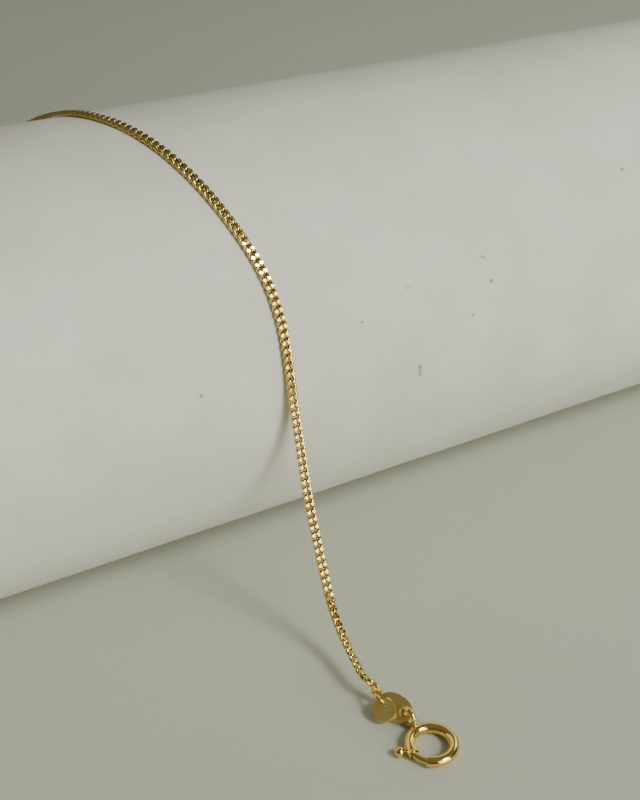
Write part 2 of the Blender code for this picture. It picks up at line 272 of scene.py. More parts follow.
polished_gold = gold_finish("polished_gold", 0.10, 0.16, 0.0015 * MM)
link_gold = gold_finish("link_gold", 0.10, 0.18, 0.0010 * MM)
# The chain's gold gets painted shade between the links, darker where the depth attribute is high.
paint_recess_shade(link_gold)
stamped_gold = gold_finish("stamped_gold", 0.26, 0.34, 0.0010 * MM)
print("gold finishes:", [m.name for m in (polished_gold, link_gold, stamped_gold)])

# %% [markdown]
# ## The chain's route
# The route's few chosen points are those of the solid tube. A Catmull-Rom curve runs through
# them: between two points it is the cubic whose slope at each point is half the step between
# that point's neighbours. The links are thinner than the tube is round, so the line is let
# down towards the roll and the table by the difference.

# %% Work out the chain's line

CHAIN_ROUTE = np.array([
    (-20.51, -46.05, 2.37), (-20.60, -44.30, 2.44), (-20.22, -41.20, 3.08), (-20.09, -38.40, 4.60),
    (-19.98, -36.20, 7.10), (-19.75, -31.40, 16.80), (-19.56, -28.10, 26.60), (-19.48, -26.80, 31.90),
    (-19.55, -25.00, 37.20), (-20.20, -22.50, 41.90), (-21.70, -18.80, 46.30), (-24.10, -12.20, 50.80),
    (-26.60, -5.00, 53.30), (-28.90, 1.50, 53.80), (-31.00, 7.60, 52.80), (-33.10, 13.80, 50.10),
    (-35.20, 19.30, 45.80), (-37.30, 23.50, 40.20), (-39.20, 26.30, 34.00), (-42.30, 29.20, 20.80),
    (-43.70, 31.60, 13.90), (-45.00, 35.10, 7.50), (-46.60, 40.30, 2.90), (-48.90, 47.50, 0.90),
    (-51.60, 57.00, 0.60), (-54.00, 72.00, 0.58), (-54.00, 90.00, 0.56), (-50.40, 109.50, 0.56),
    (-42.20, 127.00, 0.56), (-29.40, 140.60, 0.56), (-12.80, 149.20, 0.56), (5.50, 151.80, 0.56),
    (23.60, 148.40, 0.56), (39.20, 139.20, 0.56), (51.00, 125.20, 0.56), (57.80, 107.60, 0.56),
    (59.60, 88.50, 0.56), (59.20, 70.00, 0.56), (58.20, 52.00, 0.56), (57.10, 27.00, 0.56),
]) * MM
ROUTE_STEPS = 24                 # points worked out between two chosen ones
TUBE_RADIUS = 0.50 * MM
TUBE_GAP = 0.12 * MM             # air between the tube and what it lies on
LINK_REST = 0.34 * MM            # the links' middle above what they lie on
SETTLE_REACH = 0.7 * MM          # height over which the letting down fades out

roll_low, roll_high = (np.array(corner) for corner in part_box("display_roll"))
ROLL_RADIUS = (roll_high[1] - roll_low[1]) / 2
ROLL_AXIS = np.array((0.0, (roll_high[1] + roll_low[1]) / 2, roll_high[2] - ROLL_RADIUS))


def catmull_rom(chosen, steps):
    """Cubic through the chosen points: half of (2b + (c-a)t + (2a-5b+4c-d)t2 + (3b-a-3c+d)t3)."""
    ends = np.vstack([2 * chosen[0] - chosen[1], chosen, 2 * chosen[-1] - chosen[-2]])
    a, b, c, d = (ends[k:len(ends) - 3 + k, None, :] for k in range(4))
    t = (np.arange(steps) / steps)[None, :, None]
    line = 0.5 * (2 * b + (c - a) * t + (2 * a - 5 * b + 4 * c - d) * t**2 + (3 * b - a - 3 * c + d) * t**3)
    return np.vstack([line.reshape(-1, 3), chosen[-1]])


def let_down(line):
    """Push out of the roll to where the tube rests, then sink by the slack, fading with height."""
    across = line - ROLL_AXIS
    across[:, 0] = 0
    reach = np.linalg.norm(across, axis=1, keepdims=True)
    slack = TUBE_RADIUS + TUBE_GAP - LINK_REST
    resting = np.maximum(reach, ROLL_RADIUS + TUBE_RADIUS + TUBE_GAP)
    above = resting - (ROLL_RADIUS + TUBE_RADIUS + TUBE_GAP)
    lowered = resting - slack * np.exp(-above / SETTLE_REACH)
    line = line + across / reach * (lowered - reach)
    over_table = np.maximum(line[:, 2] - TUBE_RADIUS, 0)
    line[:, 2] -= slack * np.exp(-over_table / SETTLE_REACH)
    return line


COLLAR_TOWARDS = (-0.243, -0.818, -0.520)   # from the chain to the collar's mouth
collar_points = corners_of("end_collar")
collar_centre = collar_points.mean(axis=0)
print("roll radius", round(ROLL_RADIUS / MM, 2), "mm; collar at", (collar_centre / MM).round(2))

# %% [markdown]
# ## The flared collar
# A small sleeve closes the clasp end of the chain. It is turned: a narrow neck where the last
# link is soldered in, opening to a thin bright lip, hollow inside. Its profile is a closed loop,
# outer side and inner side, carried round the axis in one grid.

# %% Turn the collar from its profile

ROUND_STEPS = 56


def turned(centre, axis, reach, along, steps=ROUND_STEPS):
    """Rows of circles about an axis: centre + along * axis + reach * (cos, sin) across it."""
    axis = unit(axis)
    aside = unit(np.cross(axis, (0.3, 0.5, 0.8)))
    other = np.cross(axis, aside)
    turn = np.linspace(0, 2 * np.pi, steps, endpoint=False)
    circle = np.cos(turn)[:, None] * aside + np.sin(turn)[:, None] * other
    return centre + np.asarray(along)[:, None, None] * axis + np.asarray(reach)[:, None, None] * circle


def collar_frame():
    """The collar's narrow end, mouth, axis towards the mouth, and outer radii at both."""
    axis = unit(COLLAR_TOWARDS)
    along = (collar_points - collar_centre) @ axis
    reach = np.linalg.norm(collar_points - collar_centre - along[:, None] * axis, axis=1)
    edge = 0.02 * MM
    narrow, wide = reach[along < along.min() + edge].max(), reach[along > along.max() - edge].max()
    return collar_centre + along.min() * axis, collar_centre + along.max() * axis, axis, narrow, wide


COLLAR_WALL = 0.10 * MM
COLLAR_FLARE = 1.7               # how late the flare opens
narrow_end, mouth, collar_axis, NECK_RADIUS, LIP_RADIUS = collar_frame()
COLLAR_LENGTH = np.linalg.norm(mouth - narrow_end)
share = np.linspace(0, 1, 14)
bell = NECK_RADIUS + (LIP_RADIUS - NECK_RADIUS) * share**COLLAR_FLARE
lip_share = np.array([1.03, 1.05, 1.03])
lip_reach = LIP_RADIUS - COLLAR_WALL * np.array([0.1, 0.5, 0.9])
collar_reach = np.concatenate([bell, lip_reach, (bell - COLLAR_WALL)[::-1]])
collar_along = np.concatenate([share, lip_share, share[::-1]]) * COLLAR_LENGTH
collar_grid = turned(narrow_end, collar_axis, collar_reach, collar_along)
collar_faces = grid_faces(len(collar_reach), ROUND_STEPS, True, True)[:, ::-1]
collar = add_piece("flared_collar", [(collar_grid, collar_faces)], polished_gold)
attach(collar, NECKLACE)
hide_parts("end_collar")

# %% [markdown]
# ## One curb link
# A curb link is an oval of wire twisted about the chain's length, so that neighbours pass through
# each other and still lie flat. The oval's line is (a cos t, b sin t), with its corners a
# little squared, and every point is turned about the length by an angle that grows from one end
# to the other. The finished chain is filed on both sides: what stands past the file's plane is
# brought back to it, which leaves the small bright flats that flash on a curb chain.

# %% Make one link

LINK_PITCH = 0.90 * MM
LINK_WIRE = 0.20 * MM            # radius
LINK_HALF_LENGTH = 0.66 * MM     # to the middle of the wire
LINK_HALF_WIDTH = 0.41 * MM
LINK_TWIST = math.radians(60)    # from the middle of a link to its end
LINK_SQUARE = 3.0                # 2 is an ellipse
LINK_FILED = 0.26 * MM           # half the thickness left by the file
LINK_STEPS = 16
LEAST_TURN = math.radians(30)    # a six-sided wire's corner from its top


def link_line(t):
    """Squared oval, each point turned about the length by the twist times its place along it."""
    power = 2 / LINK_SQUARE
    along = np.sign(np.cos(t)) * np.abs(np.cos(t))**power
    out = LINK_HALF_WIDTH * np.sign(np.sin(t)) * np.abs(np.sin(t))**power
    turn = LINK_TWIST * along
    return np.stack([LINK_HALF_LENGTH * along, out * np.cos(turn), out * np.sin(turn)], axis=-1)


def even_steps(count):
    """Values of t that cut the link's line into equal lengths, half a step off its ends."""
    t = np.linspace(0, 2 * np.pi, 2001)
    steps = np.linalg.norm(np.diff(link_line(t), axis=0), axis=1)
    lengths = np.concatenate([[0], np.cumsum(steps)])
    return np.interp((np.arange(count) + 0.5) / count * lengths[-1], lengths, t)


def corner_turns(height, steepness):
    """Six corners round the wire, four of them on the file's planes wherever these cut it."""
    top = np.arccos(np.clip((LINK_FILED - height) / (LINK_WIRE * steepness), -1, math.cos(LEAST_TURN)))
    low = np.pi - np.arccos(np.clip((LINK_FILED + height) / (LINK_WIRE * steepness), -1, math.cos(LEAST_TURN)))
    middle = (top + low) / 2
    return np.stack([top, middle, low, -low, -middle, -top], axis=1)


def curb_link():
    """Wire round the link's line, filed flat on both sides, its flat faces, and how deep each point lies."""
    t = even_steps(LINK_STEPS)
    nudge = 1e-4
    middle = link_line(t)
    ahead = unit(link_line(t + nudge) - link_line(t - nudge))
    up = np.array((0.0, 0.0, 1.0))
    top = unit(up - (ahead @ up)[:, None] * ahead)
    side = np.cross(ahead, top)
    turn = corner_turns(middle[:, 2], top[:, 2])[..., None]
    points = middle[:, None] + LINK_WIRE * (np.cos(turn) * top[:, None] + np.sin(turn) * side[:, None])
    points[..., 2] = np.clip(points[..., 2], -LINK_FILED, LINK_FILED)
    faces = grid_faces(LINK_STEPS, turn.shape[1], True, True)
    filed = np.abs(points[..., 2]) > LINK_FILED * 0.999
    # How deep each point lies inside the link: the chain's gold turns this into painted shade.
    near_face = np.abs(points[..., 2]) / LINK_FILED
    near_side = np.abs(points[..., 1]) / (LINK_HALF_WIDTH + LINK_WIRE)
    depth = 1 - np.maximum(near_face, near_side)
    return points.reshape(-1, 3), faces, filed.reshape(-1)[faces].all(axis=1), depth.reshape(-1)


link_points, link_faces, link_flats, link_depth = curb_link()
print("one link:", len(link_points), "points,", len(link_faces), "faces,", int(link_flats.sum()), "filed")

# %% [markdown]
# ## Laying the links
# Each link is a rigid copy: its length lies along the chain, its thickness along the chain's
# outward side. On the roll that side points away from the roll's axis, and on the table it
# points up. Where the chain hangs free it turns a little, as the photograph shows near the
# clasp, so a short table gives the turn by the length from the collar.

# %% Lay the links along the line

FIRST_LINK = 0.90 * MM           # middle of the first link after the collar's neck
LAST_LINK = 0.55 * MM            # middle of the last link before the tube's end
NEAR_ROLL = (1.5 * MM, 6.0 * MM)  # where the outward side changes from the roll's to the table's
CHAIN_TURNS = np.array([         # mm from the collar, degrees
    (0, 40), (4, 38), (9, 30), (13, 4), (20, -8), (30, -6), (42, 0), (60, 0), (450, 0),
])


def smooth_share(value, low, high):
    """0 below low, 1 above high, and 3s2 - 2s3 between."""
    s = np.clip((value - low) / (high - low), 0, 1)
    return s * s * (3 - 2 * s)


def chain_frames(line, count):
    """Middles, directions, outward sides and cross directions of count links along the line."""
    steps = np.linalg.norm(np.diff(line, axis=0), axis=1)
    lengths = np.concatenate([[0], np.cumsum(steps)])
    wanted = FIRST_LINK + LINK_PITCH * np.arange(count)
    back, middles, on = (np.stack([np.interp(wanted + shift, lengths, axis) for axis in line.T], axis=1)
                         for shift in (-LINK_PITCH / 2, 0, LINK_PITCH / 2))
    ahead = unit(on - back)
    out = middles - ROLL_AXIS
    out[:, 0] = 0
    height = np.linalg.norm(out, axis=1) - ROLL_RADIUS
    table = smooth_share(height, *NEAR_ROLL)[:, None]
    across = (1 - table) * np.cross(ahead, unit(out)) + table * np.cross(ahead, (0, 0, 1))
    across = unit(across)
    face = unit(np.cross(across, ahead))
    turn = np.radians(np.interp(wanted / MM, CHAIN_TURNS[:, 0], CHAIN_TURNS[:, 1]))[:, None]
    face = np.cos(turn) * face + np.sin(turn) * across
    return middles, ahead, face, np.cross(face, ahead)


CHAIN_FROM_COLLAR = np.array((-0.50, 0.55, 0.20)) * MM   # the tube's start from the collar's neck
chosen_route = np.vstack([narrow_end, narrow_end + CHAIN_FROM_COLLAR, CHAIN_ROUTE[1:]])
chain_line = let_down(catmull_rom(chosen_route, ROUTE_STEPS))
line_length = np.linalg.norm(np.diff(chain_line, axis=0), axis=1).sum()
link_count = int((line_length - LAST_LINK - FIRST_LINK) / LINK_PITCH) + 1
middles, ahead, face, cross = chain_frames(chain_line, link_count)
axes = np.stack([ahead, cross, face], axis=1)
chain_points = middles[:, None] + np.einsum("pk,nkx->npx", link_points, axes)
chain_faces = link_faces[None] + (np.arange(link_count) * len(link_points))[:, None, None]
print("links:", link_count, "over", round(link_count * LINK_PITCH / MM), "mm")

# %% [markdown]
# ## Small rings
# Jump rings are drawn wire bent round. Each is a torus: a circle of the wire's radius carried
# round a circle of the ring's radius. At the far end a small ring joins the last link to the
# plain end ring, and a loop inside the collar's mouth holds the ring of the tags.

# %% Make the rings


def torus(centre, axis, radius, wire, steps=64, sides=16):
    """Circle of the wire's radius carried round: radius + wire cos u out, wire sin u along the axis."""
    u = np.linspace(0, 2 * np.pi, sides, endpoint=False)
    grid = turned(centre, axis, radius + wire * np.cos(u), wire * np.sin(u), steps)
    return grid, grid_faces(sides, steps, True, True)[:, ::-1]


def gold_ring(name, node):
    centre, axis, radius, wire = measure_ring(node)
    ring = add_piece(name, [torus(centre, axis, radius, wire)], polished_gold)
    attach(ring, NECKLACE)
    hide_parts(node)
    return centre, axis, radius, wire


tag_ring_centre, tag_ring_axis, TAG_RING_RADIUS, TAG_RING_WIRE = gold_ring("jump_ring", "tag_ring")
end_ring_centre, _, END_RING_RADIUS, END_RING_WIRE = gold_ring("end_ring", "far_end_ring")

JOINING_WIRE = 0.12 * MM
last_end = middles[-1] + ahead[-1] * LINK_HALF_LENGTH
ring_near = end_ring_centre - ahead[-1] * END_RING_RADIUS
joining_centre = (last_end - ahead[-1] * LINK_WIRE + ring_near + ahead[-1] * END_RING_WIRE) / 2
JOINING_RADIUS = np.linalg.norm(ring_near - last_end) / 2 + (LINK_WIRE + END_RING_WIRE) / 2 + JOINING_WIRE
joining_centre[2] = JOINING_RADIUS + JOINING_WIRE
joining = torus(joining_centre, cross[-1], JOINING_RADIUS, JOINING_WIRE, 32, 8)

first_end = middles[0] - ahead[0] * LINK_HALF_LENGTH
to_collar = unit(narrow_end - first_end)
NECK_LOOP_WIRE = 0.10 * MM
NECK_LOOP_RADIUS = 0.33 * MM
neck_loop = torus(first_end + to_collar * (NECK_LOOP_RADIUS - NECK_LOOP_WIRE - LINK_WIRE),
                  np.cross(to_collar, face[0]), NECK_LOOP_RADIUS, NECK_LOOP_WIRE, 32, 8)

LOOP_RADIUS = 0.30 * MM
LOOP_WIRE = 0.09 * MM
ring_in_mouth = tag_ring_centre + TAG_RING_RADIUS * unit(
    (mouth - tag_ring_centre) - ((mouth - tag_ring_centre) @ tag_ring_axis) * tag_ring_axis)
loop_axis = unit(np.cross(collar_axis, tag_ring_axis))
loop_centre = ring_in_mouth - collar_axis * (LOOP_RADIUS - TAG_RING_WIRE)
loop = torus(loop_centre, np.cross(loop_axis, collar_axis), LOOP_RADIUS, LOOP_WIRE, 32, 8)
small_rings = [joining, neck_loop, loop]
round_faces = np.zeros(sum(len(faces) for _, faces in small_rings), bool)
flat_faces = np.concatenate([np.tile(link_flats, link_count), round_faces])
chain = add_piece(
    "curb_chain", [(chain_points, chain_faces.reshape(-1, 4))] + small_rings, link_gold, flat_faces)
# The depth attribute carries the painted shade between the links.
depth_values = np.zeros(len(chain.data.vertices), np.float32)
depth_values[:link_count * len(link_depth)] = np.tile(link_depth, link_count)
chain.data.attributes.new("depth", "FLOAT", "POINT").data.foreach_set("value", depth_values)
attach(chain, NECKLACE)
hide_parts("chain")

# %% [markdown]
# ## The tags
# Both tags are stamped from sheet. Each is worked out as one flat sheet of points: rays run from
# the middle of a hole to the outline, and the rows share out the way between. The oval tag has a
# hole at each end, so its sheet is one half and its mirror image, which meet in the middle.
# Solidify gives the sheet its thickness and Bevel breaks the stamped edges.

# %% Measure and make the two tags

SHEET_ROWS = 9
SHEET_RAYS = 64


def plate_frame(node):
    """Middle, axes, half length, half width and thickness of a flat plate, and its corners in them."""
    points = corners_of(node)
    centre, axes = spread_axes(points)
    local = (points - centre) @ axes.T
    centre = centre + ((local.max(axis=0) + local.min(axis=0)) / 2) @ axes
    local = (points - centre) @ axes.T
    return centre, axes, local.max(axis=0), local


def ray_sheet(hole_centre, hole_radius, outline_reach):
    """Rows from a hole's edge to the outline along rays, (1 - s) * edge + s * outline."""
    turn = np.linspace(0, 2 * np.pi, SHEET_RAYS, endpoint=False)
    rays = np.stack([np.cos(turn), np.sin(turn)], axis=1)
    s = np.linspace(0, 1, SHEET_ROWS)[:, None]
    reach = (1 - s) * hole_radius + s * outline_reach(rays)[None]
    return hole_centre + reach[..., None] * rays


def reach_to_ellipse(start, rays, half):
    """Distance along each ray from start to the ellipse: the positive root of a quadratic."""
    a = (rays**2 / half**2).sum(axis=1)
    b = (start * rays / half**2).sum(axis=1)
    c = (start**2 / half**2).sum() - 1
    return (-b + np.sqrt(b * b - a * c)) / a


def plate_piece(name, node, sheets, centre, axes, thickness, edge):
    parts = []
    for sheet, faces in sheets:
        flat = sheet.reshape(-1, 2)
        parts.append((centre + flat @ axes[:2], faces))
    plate = add_piece(name, parts, stamped_gold)
    weld = plate.modifiers.new("joined halves", "WELD")
    weld.merge_threshold = 1e-6
    wall = plate.modifiers.new("sheet", "SOLIDIFY")
    wall.thickness = thickness
    wall.offset = 0
    rim = plate.modifiers.new("stamped edge", "BEVEL")
    rim.width = edge
    rim.segments = 2
    rim.limit_method = "ANGLE"
    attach(plate, NECKLACE)
    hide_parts(node)
    return plate


sheet_faces = grid_faces(SHEET_ROWS, SHEET_RAYS, False, True)

disc_centre, disc_axes, disc_half, disc_local = plate_frame("round_tag")
disc_inner = disc_local[np.linalg.norm(disc_local[:, :2], axis=1) < 0.95 * disc_half[0]]
disc_hole = disc_inner[:, :2].mean(axis=0)
DISC_HOLE_RADIUS = np.linalg.norm(disc_inner[:, :2] - disc_hole, axis=1).mean()
disc_sheet = ray_sheet(disc_hole, DISC_HOLE_RADIUS, lambda rays: reach_to_ellipse(disc_hole, rays, disc_half[:2]))
plate_piece("round_tag_plate", "round_tag", [(disc_sheet, sheet_faces)], disc_centre, disc_axes,
            2 * disc_half[2], 0.03 * MM)

oval_centre, oval_axes, oval_half, oval_local = plate_frame("oval_tag")
inside = ((oval_local[:, :2] / oval_half[:2])**2).sum(axis=1) < 0.9
near_half = oval_local[inside & (oval_local[:, 0] > 0)][:, :2]
oval_hole = near_half.mean(axis=0) * (1, 0)
OVAL_HOLE_RADIUS = np.linalg.norm(near_half - oval_hole, axis=1).mean()


def reach_to_half(rays):
    """The nearer of the oval's edge and the line across its middle."""
    to_middle = np.where(rays[:, 0] < -1e-9, -oval_hole[0] / np.minimum(rays[:, 0], -1e-9), np.inf)
    return np.minimum(reach_to_ellipse(oval_hole, rays, oval_half[:2]), to_middle)


half_sheet = ray_sheet(oval_hole, OVAL_HOLE_RADIUS, reach_to_half)
plate_piece("oval_tag_plate", "oval_tag",
            [(half_sheet, sheet_faces), (half_sheet * (-1, 1), sheet_faces[:, ::-1])],
            oval_centre, oval_axes, 2 * oval_half[2], 0.04 * MM)

# %% [markdown]
# ## The spring ring clasp
# The housing is a tube bent nearly round, open at the gate. The bolt inside it is pushed back by
# a knob whose stem runs in a slot on the tube's outer side. The tube's section is one closed
# loop: round the outside from one lip of the slot to the other, then back round the bore. Where
# there is no slot the two lips meet, and the wall between them is left out.

# %% Make the housing's tube

clasp_joint = frame["joints"][0]
CLASP_CENTRE = np.array(clasp_joint["pos_m"])
CLASP_RING = 2.35 * MM
CLASP_TUBE = 0.60 * MM
CLASP_BORE = 0.47 * MM
GATE_START = 188                 # degrees round the clasp, where the housing ends
GATE_END = 225                   # where it starts again
BAND_LENGTH = 7                  # degrees of raised band at the mouth by the knob
BAND_HEIGHT = 0.018 * MM
STEM_ANGLE = 167.5
SLOT_TRAVEL = 44                 # degrees that the stem slides back
SLOT_HALF_WIDTH = 0.21 * MM
SECTION_POINTS = 28              # on each of the outer and inner sides
LIP_ROUND = 0.05 * MM


def on_clasp(angle, out, height):
    """Points at an angle round the clasp, a distance from its middle, and a height over it."""
    angle, out, height = np.broadcast_arrays(np.radians(angle), out, height)
    return CLASP_CENTRE + np.stack([out * np.cos(angle), out * np.sin(angle), height], axis=-1)


def slot_opening(angle):
    """Half width of the slot at an angle round the clasp, with half-round ends."""
    per_degree = math.radians(CLASP_RING + CLASP_TUBE)
    past = np.maximum(STEM_ANGLE - SLOT_TRAVEL - angle, angle - STEM_ANGLE) * per_degree
    return np.where(past < 0, SLOT_HALF_WIDTH, np.sqrt(np.maximum(SLOT_HALF_WIDTH**2 - past**2, 0)))


def housing_angles():
    """Rows every 3 degrees, closer at the slot's round ends and at the two mouths."""
    end = math.degrees(SLOT_HALF_WIDTH / (CLASP_RING + CLASP_TUBE))
    curve = (1 - np.cos(np.linspace(0, np.pi / 2, 6))) * end
    finish_end, finish_start = GATE_END, GATE_START + 360
    near_mouth = np.array((0.0, 0.4, 1.0, 2.0))
    slot_first, slot_last = STEM_ANGLE - SLOT_TRAVEL + 360, STEM_ANGLE + 360
    rows = np.concatenate([
        np.arange(finish_end, finish_start, 3.0), finish_end + near_mouth, finish_start - near_mouth,
        finish_start - BAND_LENGTH + near_mouth[:3] - 1, slot_first - end + curve, slot_last + end - curve])
    rows = np.unique(np.round(rows, 3))
    return rows[(rows >= finish_end) & (rows <= finish_start)]


def housing_tube():
    """Rows of closed sections: outer arc between the slot's lips, then the bore's arc back."""
    angle = housing_angles()
    opening = slot_opening(angle - 360)
    from_mouth = np.minimum(angle - GATE_END, GATE_START + 360 - angle) * math.radians(CLASP_RING)
    lip = LIP_ROUND - np.sqrt(np.maximum(LIP_ROUND**2 - np.maximum(LIP_ROUND - from_mouth, 0)**2, 0))
    band = BAND_HEIGHT * smooth_share(angle, GATE_START + 360 - BAND_LENGTH - 0.5, GATE_START + 360 - BAND_LENGTH)
    outer = CLASP_TUBE - lip + band
    share = np.linspace(0, 1, SECTION_POINTS)
    first_outer, first_inner = np.arcsin(opening / outer), np.arcsin(opening / CLASP_BORE)
    turn_out = first_outer[:, None] + share * (2 * np.pi - 2 * first_outer[:, None])
    turn_in = (first_inner[:, None] + share * (2 * np.pi - 2 * first_inner[:, None]))[:, ::-1]
    turn = np.hstack([turn_out, turn_in])
    reach = np.hstack([np.repeat(outer[:, None], SECTION_POINTS, 1),
                       np.full((len(angle), SECTION_POINTS), CLASP_BORE)])
    points = on_clasp(angle[:, None], CLASP_RING + reach * np.cos(turn), reach * np.sin(turn))
    faces = grid_faces(len(angle), 2 * SECTION_POINTS, False, True)
    row, column = np.divmod(faces[:, 0], 2 * SECTION_POINTS)
    wall = (column == SECTION_POINTS - 1) | (column == 2 * SECTION_POINTS - 1)
    shut = (opening[row] < 1e-9) & (opening[row + 1] < 1e-9)
    return points, faces[~(wall & shut)], len(angle)


def mouth_cap(row, forward):
    """The thin annulus that closes the wall at a mouth, from the outer arc to the bore's."""
    j = np.arange(SECTION_POINTS - 1)
    back = 2 * SECTION_POINTS - 1 - j
    ring = np.stack([j, j + 1, back - 1, back], axis=1) + row * 2 * SECTION_POINTS
    return ring if forward else ring[:, ::-1]


tube_points, tube_faces, tube_rows = housing_tube()
tube_faces = np.concatenate([tube_faces, mouth_cap(0, False), mouth_cap(tube_rows - 1, True)])
print("housing tube:", tube_rows, "rows,", len(tube_faces), "faces")

# %% [markdown]
# The eyelet stands upright on the tube, at the end away from the gate, and a small collar of
# solder runs between them. A fillet like that is a surface of its own: a short neck that is wide
# where it meets each piece and narrow between.

# %% Solder the eyelet to the tube


EYELET_HEADING = 94.5
EYELET_WIRE = 0.27 * MM
EYELET_WIDE = 1.15               # the wire is flattened a little, wider than thick


def measure_eyelet():
    """Middle and radii of the upright eyelet, from the housing's corners above the tube."""
    points = corners_of("clasp_housing") - CLASP_CENTRE
    heading = math.radians(EYELET_HEADING)
    outward = np.array((math.cos(heading), math.sin(heading), 0.0))
    aside = np.array((-outward[1], outward[0], 0.0))
    out = points @ outward
    near = (np.abs(points @ aside) < CLASP_TUBE / 2) & (out > CLASP_RING + CLASP_TUBE)
    high = points[near, 2].max()
    far = out[near].max()
    outer = (high - points[near, 2].min()) / 2
    centre = CLASP_CENTRE + outward * (far - outer) + np.array((0, 0, high - outer))
    return centre, aside, outward, outer


eyelet_centre, eyelet_axis, eyelet_out, EYELET_OUTER = measure_eyelet()
eyelet_points, eyelet_faces = torus(
    eyelet_centre, eyelet_axis, EYELET_OUTER - EYELET_WIRE, EYELET_WIRE)
off_plane = (eyelet_points - eyelet_centre) @ eyelet_axis
eyelet_points = eyelet_points + (off_plane * (EYELET_WIDE - 1))[..., None] * eyelet_axis

SOLDER_RADIUS = 0.30 * MM
SOLDER_REACH = 0.34 * MM         # up round the eyelet's wire
SOLDER_SUNK = 0.02 * MM          # down into the tube's wall, short of its bore
solder_axis = unit(CLASP_CENTRE + eyelet_out * CLASP_RING - eyelet_centre)
solder_middle = eyelet_centre + solder_axis * EYELET_OUTER
solder_share = np.linspace(-1, 1, 13)
solder_grid = turned(
    solder_middle, solder_axis, SOLDER_RADIUS * (0.78 + 0.22 * solder_share**2),
    np.linspace(-SOLDER_SUNK, SOLDER_REACH, len(solder_share))[::-1] * -1, 32)
solder_parts = closed_grid(solder_grid, True, True)

housing = add_piece(
    "clasp_tube", [(tube_points, tube_faces), (eyelet_points, eyelet_faces)]
    + [(points, faces[:, ::-1]) for points, faces in solder_parts], polished_gold)
joined = housing.modifiers.new("closed seam", "WELD")
joined.merge_threshold = 1e-6
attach(housing, NECKLACE)
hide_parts("clasp_housing")
print("eyelet:", round(2 * EYELET_OUTER / MM, 2), "mm across")

# %% [markdown]
# ## The bolt
# A round wire slides in the tube, shut by a spring. Its stem comes out through the slot and ends
# in a small ball for the fingernail. The wire has rounded ends; the stem and ball are turned in
# one profile about the line from the clasp's middle.

# %% Make the bolt, stem and knob

BOLT_WIRE = 0.38 * MM
BOLT_TAIL = 52                   # degrees of wire behind the stem
BOLT_LAP = 5                     # degrees of wire in the far mouth
STEM = 0.15 * MM
KNOB = 0.57 * MM
KNOB_REACH = 3.58 * MM
KNOB_SQUASH = 0.94
NAIL_GROOVE = 0.14               # depth as a share of the knob's radius
GROOVE_WIDTH = 0.09 * MM

bolt_angle = np.linspace(STEM_ANGLE - BOLT_TAIL, GATE_END + BOLT_LAP, 46)
from_end = np.minimum(bolt_angle - bolt_angle[0], bolt_angle[-1] - bolt_angle) * math.radians(CLASP_RING)
END_ROUND = 0.12 * MM
bolt_reach = BOLT_WIRE - END_ROUND + np.sqrt(END_ROUND**2 - np.maximum(END_ROUND - from_end, 0)**2)
section = np.linspace(0, 2 * np.pi, 24, endpoint=False)
bolt_grid = on_clasp(
    bolt_angle[:, None], CLASP_RING + bolt_reach[:, None] * np.cos(section), bolt_reach[:, None] * np.sin(section))

ball = np.linspace(0.0, 1.0, 40)
knob_out = KNOB_REACH - KNOB * KNOB_SQUASH * np.cos(np.pi * ball)
knob_wide = KNOB * np.sin(np.pi * ball)
start = int((knob_wide[:len(ball) // 2] < STEM).sum())
stem_out = np.linspace(CLASP_RING, knob_out[start] - 0.02 * MM, 6)
profile_out = np.concatenate([stem_out, knob_out[start:-1]])
profile_wide = np.concatenate([np.full(len(stem_out), STEM), knob_wide[start:-1]])
stem_axis = unit(on_clasp(STEM_ANGLE, 1.0, 0.0) - CLASP_CENTRE)
knob_grid = turned(CLASP_CENTRE, stem_axis, profile_wide, profile_out, 48)
knob_centre = CLASP_CENTRE + KNOB_REACH * stem_axis
from_knob = knob_grid[len(stem_out):] - knob_centre
groove = 1 - NAIL_GROOVE * np.exp(-(from_knob[..., 2:] / GROOVE_WIDTH)**2)
knob_grid[len(stem_out):] = knob_centre + from_knob * np.where(np.arange(3) < 2, groove, 1)

bolt_parts = [(points, faces) for points, faces in closed_grid(bolt_grid, True, True)]
knob_parts = [(points, faces[:, ::-1]) for points, faces in closed_grid(knob_grid, True, True)]
bolt = add_piece("sliding_bolt", bolt_parts + knob_parts, polished_gold)
bolt_weld = bolt.modifiers.new("closed ends", "WELD")
bolt_weld.merge_threshold = 1e-6
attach(bolt, BOLT)
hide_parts("clasp_bolt")

# %% [markdown]
# ## The plaster roll
# The roll is cast plaster: matt, nearly white, a little warm. Its surface is slightly uneven,
# with soft shallow dents a few millimetres wide and a few pinholes where air was caught. The
# wide dents are real shape: soft bumps spread over the surface at random, from a seeded
# generator so that every run gives the same roll. The fine grain is in the finish. The pinholes
# are only painted shade in it: small dark spots, with no hole in the surface.

# %% Make the plaster finish

PLASTER_LIGHT = (0.76, 0.755, 0.675)
PLASTER_DARK = (0.70, 0.695, 0.615)
# The pinholes are drawn only as this dark colour: painted shade where each small hole would be.
PINHOLE_PAINTED_SHADE = (0.36, 0.35, 0.30)
PINHOLES = (                     # mm: place on the roll, radius
    (8.37, -25.26, 35.18, 0.34), (7.53, -24.08, 38.07, 0.20), (7.85, -24.16, 37.90, 0.20),
    (5.38, -26.17, 31.84, 0.22), (-3.00, -24.64, 36.81, 0.20), (-9.59, -25.47, 34.55, 0.24),
    (-2.22, -26.69, 27.17, 0.34), (-2.21, -26.70, 26.66, 0.30), (-2.18, -26.70, 26.17, 0.26),
    (-29.96, -26.25, 31.44, 0.26), (31.21, -20.80, 43.27, 0.28),
)


